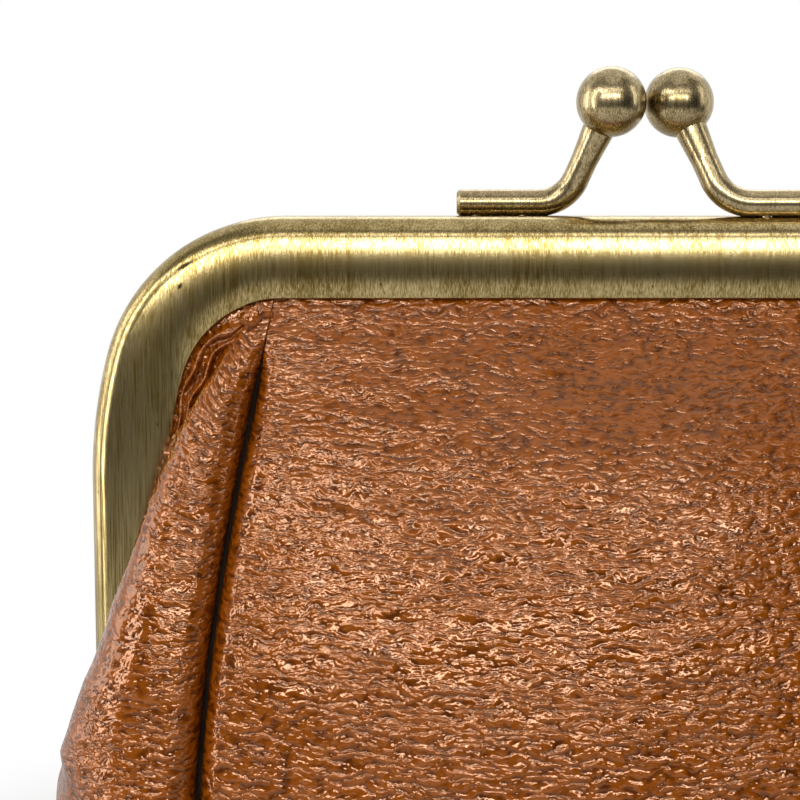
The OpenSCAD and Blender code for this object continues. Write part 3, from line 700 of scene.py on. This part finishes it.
# Rows beside the frame: a roll next to the seam, a gathered strip behind it, and the rim.
# The roll is two quarter arcs, drawn as Beziers: from the seam out to its reach, and back in.
def flapRows(q):
    g = gusset
    q = q[:, None]
    s = archL * q / hingeQ
    edge = seamEdge(q)
    a = edgePoint(q, 0 * q, -1)
    t = ease(q / 0.2)
    rim = rimPoint(s, mix(-1.8, -0.45, t), leatherY + 0.4)
    # over is 0 where the roll lies inside the frame
    over = ease((q - g["overStart"]) / g["overLength"])[..., None]
    x, y, z = np.eye(3)
    height = mix(a[..., 2:], rim[..., 2:], 0.45)
    shallow = mix(a[..., 1:2], -leatherY, 0.55)
    deep = mix(mix(a[..., 1:2], -b["halfY1"] - 0.9, 0.62), shallow, 1 - over)
    left = np.concatenate([np.maximum(reachAt(height), a[..., :1] + 0.4), deep, height], -1)
    out, back = left[..., :1] - a[..., :1], left[..., 1:2] - a[..., 1:2]
    behind = left - x * out * 0.5 + y * np.maximum(-left[..., 1:2] - leatherY - 0.5, 0.1)
    front = rimPoint(s, 0.5 + 0 * s, b["halfY1"] + 0.55)
    front[..., 0] = np.minimum(front[..., 0], left[..., 0] - 0.5)
    neck = mix(behind, front, over)
    curve, half = g["curve"], g["rollCols"] // 2
    leave = a + (x * out + z * (height - a[..., 2:])) * curve
    firstT = np.linspace(0, 1, half + 1)[1:, None][None]
    first = bezier(a, leave, left - y * back * curve, left, firstT)
    deep = neck[..., 1:2] - left[..., 1:2]
    enter = neck + (left - neck) * [curve, 0, curve]
    secondT = np.linspace(0, 1, half)[1:, None][None]
    second = bezier(left, left + y * deep * curve, enter, neck, secondT)
    f = np.linspace(0, 1, g["gatherCols"])[1:]
    gather = mix(neck, rim, f[None, :, None])
    wobble = 1.1 * slowNoise(s * 0.3 + 0 * f, f[None] * 2 + 0 * s, g["foldSeed"])
    wave = np.cos(2 * np.pi * (g["folds"] * f[None] + wobble))
    fold = np.sin(np.pi * f) ** 0.5 * (0.5 - 0.5 * wave)
    gather = gather - y * fold[..., None] * g["foldDepth"] * (1 - over) * t[..., None]
    turnIn = np.stack([
        rim[:, 0],
        rimPoint(s, mix(-1.2, -0.6, t), leatherY + 0.15)[:, 0],
        rimPoint(s, -0.4 + 0.1 * t, leatherY + 0 * t)[:, 0],
        rimPoint(s, b["tuck"] + 0 * t, leatherY + 0 * t)[:, 0],
    ], 1)
    at = np.linspace(0, 3, g["rimCols"])[1:]
    low = np.minimum(at.astype(int), 2)
    turnIn = mix(turnIn[:, low], turnIn[:, low + 1], (at - low)[None, :, None])
    return np.concatenate([edge, first, second, gather, turnIn], 1)


# Rows below the arm: the last row of the flap eases into a full rounded side.
def freeRows(q, last):
    g = gusset
    count = last.shape[1] - g["edgeCols"]
    q = q[:, None]
    edge = seamEdge(q)
    i = np.linspace(0, 1, count + 1)[1:][None]
    power = mix(g["sidePower"], g["basePower"], ease(q - 1))
    f = 1 - i ** g["rowPower"]
    base = seamPoint(q)
    wide = b["puff"] + (outerX(q) - b["puff"]) * (1 - f ** power) ** (1 / power)
    loose = base + np.stack([0 * wide, base[..., 1] * (f - 1), 0 * wide], -1)
    loose = loose + seamOut(q) * wide[..., None]
    t = ease((q - hingeQ) / (1 - hingeQ) * 1.7)[..., None]
    held = np.broadcast_to(last[:, g["edgeCols"]:], loose.shape).copy()
    held[..., 2] = base[..., 2] + (held[..., 2] - last[:, g["edgeCols"], 2][:, None]) * g["held"]
    held[..., 1] = mix(held[..., 1], held[..., 1] * (1 - i ** 3), ease((q - hingeQ) / 0.05))
    rows, seamX = mix(held, loose, t), base[..., 0]
    wide = (reachAt(base[..., 2]) - seamX) / (rows[..., 0].max(1, keepdims=True) - seamX)
    rows[..., 0] = seamX + (rows[..., 0] - seamX) * mix(wide, 1, ease((q - 0.9) / 0.1))
    return np.concatenate([edge, rows], 1)


# Waves and puckers that are large enough to be real relief, in millimetres along the normal:
# sums of slow noises, drawn out across the piece.
relief = {"waves": 0.34, "lumps": 0.16, "slow": 0.5}


# Waves and lumps weighed by how rough the place is, and slow swells over all.
def crinkle(u, v, seed, strength=1.0):
    r = relief
    bu = u + 2.5 * (slowNoise(u / 6, v / 4, seed) - 0.5)
    bv = v + 2.5 * (slowNoise(u / 7, v / 5, seed + 1) - 0.5)
    waves = slowNoise(bu / 6, bv / 2.4, seed + 3) - 0.5
    lumps = slowNoise(bu / 2.6, bv / 1.3, seed + 2) - 0.5
    slow = slowNoise(u / 17, v / 12, seed + 4) - 0.5
    rough = 0.4 + 0.8 * ease((slowNoise(u / 14, v / 12, seed + 5) - 0.3) / 0.4)
    return strength * (rough * (r["waves"] * waves + r["lumps"] * lumps) + r["slow"] * slow)


# A grid moved along its normals, and kept on or above the floor.
def raised(grid, height, flip=False):
    grid = grid + normals(grid, flip) * height[..., None]
    grid[..., 2] = np.maximum(grid[..., 2], 0.0)
    return grid


# Grows smoothly from 0 at the first row to 1 at the given row.
def fadeRows(grid, count):
    return ease(np.arange(grid.shape[0]) / count)[:, None]


panelLook = {
    "rows": 212, "faceCols": 100, "edgeCols": 9, "seed": 11, "rearSeed": 40,
    "topFade": 14, "lowFade": 8, "calmEdge": 0.25,
}


# Moves the piece's placement into its mesh points.
def bendWith(piece):
    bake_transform(piece)


panel = panelGrid(panelLook["rows"], panelLook["faceCols"], panelLook["edgeCols"])
across, downward = along(panel, 1), along(panel, 0)
middle = panel.shape[1] // 2
across = across - across[:, middle:middle + 1]
downward = downward[:, middle:middle + 1] + 0 * across
edgeFade = ease((np.abs(across).max(1, keepdims=True) - np.abs(across) - 4) / 4)
for end, half in (("front", "front_half"), ("rear", "rear_half")):
    seed = panelLook["seed"] + (0 if end == "front" else panelLook["rearSeed"])
    strength = mix(panelLook["calmEdge"], 1, edgeFade)
    height = crinkle(across, downward, seed, strength) * fadeRows(panel, panelLook["topFade"])
    fromEnd = panel.shape[0] - 4 - np.arange(panel.shape[0])
    height = height * ease(fromEnd / panelLook["lowFade"])[:, None]
    made = raised(panel, height) * (1 if end == "front" else turnBack)
    uv = np.stack([across + 200 + seed, 200 - downward], -1)
    piece = gridPiece(end + "_leather", made, uv, soft["leather"], thick=b["leatherT"])
    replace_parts(piece, end + "_panel")
    bendWith(piece)
print("panels made")

flapQ = spacing(int(gusset["rows"] * gusset["flapShare"]), 0.0, hingeQ)
freeQ = spacing(int(gusset["rows"] * (1 - gusset["flapShare"])), hingeQ, 2.0)[1:]
flap = flapRows(np.maximum(flapQ, 0.004))
side = np.concatenate([flap, freeRows(freeQ, flap[-1:])], 0)
across, downward = along(side, 1), along(side, 0)
lead = gusset["edgeCols"] + 8
allQ, col = np.concatenate([flapQ, freeQ])[:, None], np.arange(side.shape[1])[None]
tucked = 1 - (ease((allQ - 0.17) / 0.1) * ease((hingeQ + 0.12 - allQ) / 0.1)
              * ease((col - gusset["edgeCols"] - gusset["rollCols"] * 0.55) / 10))
downward = downward[:, lead:lead + 1] + 0 * across
for end, half in (("front", "front_half"), ("rear", "rear_half")):
    for way in ("left", "right"):
        flip = (end == "front") == (way == "left")
        seed = 101 + 13 * (2 * (end == "rear") + (way == "left"))
        fade = ease((np.arange(side.shape[1]) - gusset["edgeCols"] * 0.6) / 8)[None]
        fade = fade * ease((side.shape[1] - 1 - np.arange(side.shape[1])) / 10)[None] * tucked
        height = crinkle(across, downward, seed, 0.9) * fade * fadeRows(side, 12)
        made = raised(side, height)
        made = made * (np.array([-1, 1, 1]) if flip else 1) * (1 if end == "front" else turnBack)
        uv = np.stack([across + 200 + seed, 200 - downward], -1)
        name = f"{end}_{way}_gusset_leather"
        piece = gridPiece(name, made, uv, soft["leather"], flip, b["leatherT"])
        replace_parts(piece, way + "_gusset")
        bendWith(piece)
print("gussets made")

baseLook = {"rows": 90, "seed": 301, "strength": 0.5, "endFade": 8}


# The base: the gussets' last row carried along X from one lower corner to the other.
def baseGrid(rows):
    half = freeRows(np.array([2.0]), flap[-1:])[0]
    ring = np.concatenate([half, half[-2::-1] * [1, -1, 1]])
    grid = np.repeat(ring[None], rows, 0)
    end = seamPoint(np.array(2.0))[0] - b["seamGap"] / 2
    grid[..., 0] = np.linspace(end, -end, rows)[:, None]
    return grid


base = baseGrid(baseLook["rows"])
across, downward = along(base, 1), along(base, 0)
row = np.arange(baseLook["rows"])
ends = ease(np.minimum(row, row[::-1]) / baseLook["endFade"])[:, None]
height = crinkle(downward, across, baseLook["seed"], baseLook["strength"]) * ends
height = height * np.clip(0.2 + base[..., 2] / 2, 0.2, 1)
uv = np.stack([across + 400, downward + 20], -1)
made = raised(base, height)
piece = gridPiece("base_leather", made, uv, soft["leather"], thick=b["leatherT"])
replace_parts(piece, "base_panel")
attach(piece, "pouch")
print("base made")

# ---- linings, one layer inside the leather
lining = {
    "inside": 1.5, "thick": 0.4, "narrower": 5.0, "behind": 0.5, "seamGap": 0.03,
    "rows": 120, "cols": 70, "sideRows": (50, 70), "sideCols": 40, "slack": 0.8,
}


# Where a lining passes behind the turned edges of a seam.
def behindSeam(q, side):
    back = np.zeros((*np.shape(q), 3))
    back[..., 1] = lining["inside"] + turned(q) * (b["puff"] + b["allowance"] + lining["behind"])
    return seamPoint(q) - side * lining["seamGap"] * seamOut(q) + back


# The panel's crowned face, narrower and further in, with its edges drawn to the seams.
def panelLining():
    q = np.maximum(spacing(lining["rows"]), 0.0)
    qq, uu = np.meshgrid(q, np.linspace(0, 1, lining["cols"] // 2), indexing="ij")
    e = edgePoint(qq, 0 * qq, 1)
    x = (e[..., 0] - lining["narrower"] * turned(qq)) * uu
    y = e[..., 1] - swell(qq) * (1 - (x / e[..., 0]) ** 2) + lining["inside"]
    low = lining["inside"] * ease((qq - 1.6) / 0.4)
    face = np.stack([x, y, e[..., 2] + low], -1)
    t = np.linspace(0, 1, 8)[1:, None]
    half = np.concatenate([face, mix(face[:, -1:], behindSeam(q, 1)[:, None], ease(t)[None])], 1)
    lift = np.repeat(half[:1], 4, 0)
    lift[..., 1] = lining["inside"] - leatherY
    lift[..., 2] = exitZ + np.linspace(b["tuck"], 1, 4)[:, None]
    half = np.concatenate([lift, half])
    return np.concatenate([half[:, :0:-1] * [-1, 1, 1], half], 1)


# From seam to frame straight behind the roll, and below the arm round the side.
def sideLining():
    g = gusset
    heldRows, freeCount = lining["sideRows"]
    q1, q2 = spacing(heldRows, 0.0, hingeQ), spacing(freeCount, hingeQ, 2.0)[1:]
    t = np.linspace(0, 1, lining["sideCols"])[None, :, None]
    s = archL * q1[:, None] / hingeQ
    start, y = behindSeam(q1, -1)[:, None], leatherY - lining["inside"]
    lip, top = rimPoint(s, -0.6 + 0 * s, y), rimPoint(s, b["tuck"] + 0 * s, y)
    out = np.sin(np.pi * t) * lining["slack"] * rimOut(s) * ease(q1 / 0.2)[:, None, None]
    held = np.concatenate([mix(start, lip, t) + out, mix(lip, top, t[:, 10::10])], 1)
    count = held.shape[1]
    i = np.linspace(0, 1, count)[None]
    q = q2[:, None]
    power = mix(g["sidePower"], g["basePower"], ease(q - 1))
    f = 1 - i ** g["rowPower"]
    wide = np.maximum(outerX(q) - lining["inside"] * 1.4, 1) * (1 - f ** power) ** (1 / power)
    start = behindSeam(q, -1)
    loose = start + seamOut(q) * wide[..., None]
    loose[..., 1] = start[..., 1] * f
    last = np.repeat(held[-1:], len(q2), 0)
    last[..., 2] = start[..., 2] + (last[..., 2] - held[-1, 0, 2]) * g["held"]
    last[..., 1] *= mix(1, 1 - i ** 3, ease((q - hingeQ) / 0.05))
    grow = ease((q - hingeQ) / (1 - hingeQ) * 1.25)[..., None]
    return np.concatenate([held, mix(last, loose, grow)])


# A lining's grid as a piece that shows instead of its CAD node.
def clothPiece(name, grid, node, half=None, flip=False, turn=1):
    uv = np.stack([along(grid, 1), along(grid, 0)], -1)
    piece = gridPiece(name, grid * turn, uv, soft["lining"], flip, lining["thick"])
    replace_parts(piece, node)
    if half:
        bendWith(piece)
    else:
        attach(piece, "pouch")
    return piece


faceLining, cornerLining = panelLining(), sideLining()
for end, half in (("front", "front_half"), ("rear", "rear_half")):
    turn = here if end == "front" else turnBack
    clothPiece(end + "_panel_lining", faceLining, end + "_lining", half, turn=turn)
    for way in ("left", "right"):
        flip = (end == "front") == (way == "left")
        sideTurn = turn * (np.array([-1, 1, 1]) if flip else 1)
        clothPiece(f"{end}_{way}_lining", cornerLining, way + "_lining", half, flip, sideTurn)

# The base lining: half its section across Y, mirrored, smoothed and carried along X.
inside = b["leatherT"] + 0.3
rest = b["seamY"] - b["puff"] - b["allowance"]
halfSection = np.array([
    (rest - 4, inside), (rest, b["seamZ"] + 0.4), (b["seamY"] - 2.4, b["seamZ"] + 0.5),
])
section = np.concatenate([halfSection[::-1] * [-1, 1], halfSection])
even = np.linspace(section[0, 0], section[-1, 0], 121)
padded = np.pad(np.interp(even, *section.T), 6, mode="edge")
level = np.convolve(padded, np.hanning(15)[1:-1] / 7, "valid")
floorLining = np.repeat(np.stack([0 * even, even, level], -1)[None], 60, 0)
floorLining[..., 0] = np.linspace(1, -1, 60)[:, None] * (seamPoint(np.array(2.0))[0] - 0.3)
clothPiece("base_lining_cloth", floorLining, "base_lining", flip=True)
print("linings made")

# ---- seam stitches: short round-ended tubes along the turned edges
stitches = {"pitch": 3.0, "share": 0.8, "radius": 0.2, "from": 0.2, "to": 0.98, "round": 0.18}


# Each stitch is a tube between two places on the seam, its radius a half circle at each end.
def stitchGrid(side, rings=9, round=10):
    w = stitches
    count = int(sideH * (w["to"] - w["from"]) / w["pitch"])
    place = seamPoint(np.linspace(w["from"], w["to"], count + 1))
    place = place + [-b["leatherT"] - w["radius"] - 0.15, b["puff"] + b["allowance"] / 2, 0]
    start, step = place[:-1], np.diff(place, axis=0) * w["share"]
    t = 0.5 - 0.5 * np.cos(np.linspace(0, np.pi, rings))
    past = np.clip(np.abs(2 * t - 1) - (1 - w["round"]), 0, None)
    thin = np.sqrt(np.maximum(1 - past ** 2 / w["round"] ** 2, 0.02))[None, :, None, None]
    turn = np.linspace(0, 2 * np.pi, round + 1)
    ring = np.stack([np.cos(turn), np.sin(turn), 0 * turn], -1) * w["radius"]
    grid = start[:, None, None] + step[:, None, None] * t[None, :, None, None] + thin * ring
    return grid * [side, 1, 1]


for end, half in (("front", "front_half"), ("rear", "rear_half")):
    turn = here if end == "front" else turnBack
    tubes = np.concatenate([stitchGrid(side) * turn for side in (-1, 1)])
    count, rings, ringSize = tubes.shape[:3]
    number = np.arange(count * rings * ringSize).reshape(count, rings, ringSize)
    a, c, d, e = number[:, :-1, :-1], number[:, :-1, 1:], number[:, 1:, :-1], number[:, 1:, 1:]
    faces = np.stack([a, c, e, d], -1).reshape(-1, 4)
    mesh = bpy.data.meshes.new(end + "_stitches")
    mesh.from_pydata((tubes.reshape(-1, 3) * mm).tolist(), [], faces.tolist())
    tidy = bmesh.new()
    tidy.from_mesh(mesh)
    bmesh.ops.remove_doubles(tidy, verts=tidy.verts, dist=1e-7)
    bmesh.ops.holes_fill(tidy, edges=tidy.edges, sides=0)
    bmesh.ops.recalc_face_normals(tidy, faces=tidy.faces)
    tidy.to_mesh(mesh)
    tidy.free()
    mesh.shade_smooth()
    mesh.materials.append(soft["thread"])
    piece = bpy.data.objects.new(end + "_stitches", mesh)
    bpy.context.scene.collection.objects.link(piece)
    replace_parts(piece, end + "_seam_thread")
    bendWith(piece)
print("stitches made")

# ---- the sheets: the flat width, length and area that each was cut to, and how it is held
cuts = {
    "leather": (0.108, 0.099, 0.0095, "folded"),
    "left_gusset_leather": (0.043, 0.119, 0.0036, "gathered"),
    "right_gusset_leather": (0.043, 0.119, 0.0036, "gathered"),
    "panel_lining": (0.1055, 0.1072, 0.0093, "hung"),
    "left_lining": (0.025, 0.130, 0.0021, "hung"),
    "right_lining": (0.025, 0.130, 0.0021, "hung"),
}
for end in ("front", "rear"):
    for name, (wide, long, area, held) in cuts.items():
        piece = bpy.data.objects[f"{end}_{name}"]


# ---- floor, light and camera
photo = {"centre": (-0.02774, -0.0052, 0.0795), "distance": 0.205, "lift": 7.0, "lens": 82.0}


# Turns a lamp or the camera to face a point.
def aimed(thing, at):
    thing.rotation_mode = "QUATERNION"
    way = Vector(at) - thing.location
    thing.rotation_quaternion = way.to_track_quat("-Z", "Y")


cameraData = bpy.data.cameras.new("camera")
camera = bpy.data.objects.new("camera", cameraData)
bpy.context.scene.collection.objects.link(camera)
lift = math.radians(photo["lift"])
back = Vector((0, -math.cos(lift), math.sin(lift)))
camera.location = Vector(photo["centre"]) + back * photo["distance"]
aimed(camera, photo["centre"])
cameraData.lens, cameraData.sensor_width = photo["lens"], 36.0
cameraData.clip_start, cameraData.clip_end = 0.005, 50.0
bpy.context.scene.camera = camera

# each lamp: bearing round the purse and height in degrees, distance, size and brightness
lamps = {
    "front": {"bearing": -8, "height": 19.5, "far": 0.8, "size": (0.9, 0.1), "bright": 13.5},
    "high": {"bearing": 0, "height": 40, "far": 0.75, "size": (0.8, 0.1), "bright": 3.4},
    "top": {"bearing": 10, "height": 78, "far": 0.7, "size": (0.5, 0.4), "bright": 0.6},
    "corner": {"bearing": -46, "height": 36, "far": 0.7, "size": (0.3, 0.1), "bright": 7.0},
    "left": {"bearing": -68, "height": 10, "far": 0.6, "size": (0.09, 0.5), "bright": 8.0},
    "side": {"bearing": -95, "height": 10, "far": 0.6, "size": (0.2, 0.5), "bright": 2.5},
    "right": {"bearing": 80, "height": 20, "far": 0.6, "size": (0.15, 0.5), "bright": 2.5},
    "rear": {"bearing": 170, "height": 40, "far": 0.8, "size": (0.7, 0.3), "bright": 2.0},
}
middle = Vector((0, 0, 0.075))
for name, lamp in lamps.items():
    data = bpy.data.lights.new(name, "AREA")
    data.shape = "RECTANGLE"
    data.size, data.size_y = lamp["size"]
    data.energy = lamp["bright"] * math.pi * data.size * data.size_y
    light = bpy.data.objects.new(name, data)
    bearing, height = math.radians(lamp["bearing"]), math.radians(lamp["height"])
    flat = math.cos(height)
    way = Vector((math.sin(bearing) * flat, -math.cos(bearing) * flat, math.sin(height)))
    light.location = middle + way * lamp["far"]
    bpy.context.scene.collection.objects.link(light)
    aimed(light, middle)

studio = {
    "behind": 0.3, "ahead": 0.08, "above": 0.17,      # brightness of the parts of the world
    "darkWay": (0.57, -0.81, -0.1),
    "card": (0.66, 0.66, 0.65), "floorR": 0.3, "fade": (0.07, 0.15),
}

# The world: white where the camera looks, and behind the purse in the metal's reflections;
# a dim studio, darkest low in front, lights the rest.
world = bpy.data.worlds.new("studio")
bpy.context.scene.world = world
sky = Shader("studio", world)
way = sky.node("TexCoord", out="Generated")
parts = sky.node("SeparateXYZ", None, {0: way}).socket.node.outputs
behind = Wire(sky, parts[1]).step(-0.1, 0.3)
above = Wire(sky, parts[2]).step(0.0, 0.9)
rays = sky.node("LightPath", out="Is Camera Ray")
glossy = Wire(sky, rays.socket.node.outputs["Is Glossy Ray"])
through = Wire(sky, rays.socket.node.outputs["Is Transmission Ray"])
white = rays.calc("MAXIMUM", rays, (glossy + through) * behind)
level = (behind * studio["behind"] + studio["ahead"]) + above * studio["above"]
dark = sky.node("VectorMath", {"operation": "DOT_PRODUCT"}, {0: way, 1: studio["darkWay"]}, 1)
level = level * (1 - dark.step(0.8, 0.97) * 0.9)
dim = sky.node("Background", None, {"Color": (1.0, 0.98, 0.95, 1), "Strength": level})
plain = sky.node("Background", None, {"Color": (1.0, 1.0, 1.0, 1), "Strength": 1.0})
both = sky.node("MixShader", None, {0: white, 1: dim, 2: plain})
sky.show(both)

# The floor is pale card that turns to plain white away from the purse.
s = Shader("pale_card")
where = s.place("Object", (1, 1, 1))
far = s.node("VectorMath", {"operation": "LENGTH"}, {0: where}, 1).step(*studio["fade"])
rays = s.node("LightPath", out="Is Camera Ray")
card = s.node("BsdfDiffuse", None, {"Color": studio["card"]})
white = s.node("Emission", None, {"Color": (1.0, 1.0, 1.0), "Strength": 1.0})
mixed = s.node("MixShader", None, {0: far * rays, 1: card, 2: white})
s.show(mixed)
floorMesh = bpy.data.meshes.new("floor")
turn = np.linspace(0, 2 * np.pi, 65)[:-1]
rim = np.stack([np.cos(turn), np.sin(turn), 0 * turn], -1) * studio["floorR"]
floorMesh.from_pydata(rim.tolist(), [], [list(range(len(rim)))])
floorMesh.materials.append(s.material)
floor = bpy.data.objects.new("floor", floorMesh)
bpy.context.scene.collection.objects.link(floor)
bpy.context.scene.view_settings.view_transform = "Standard"
print("stage made")
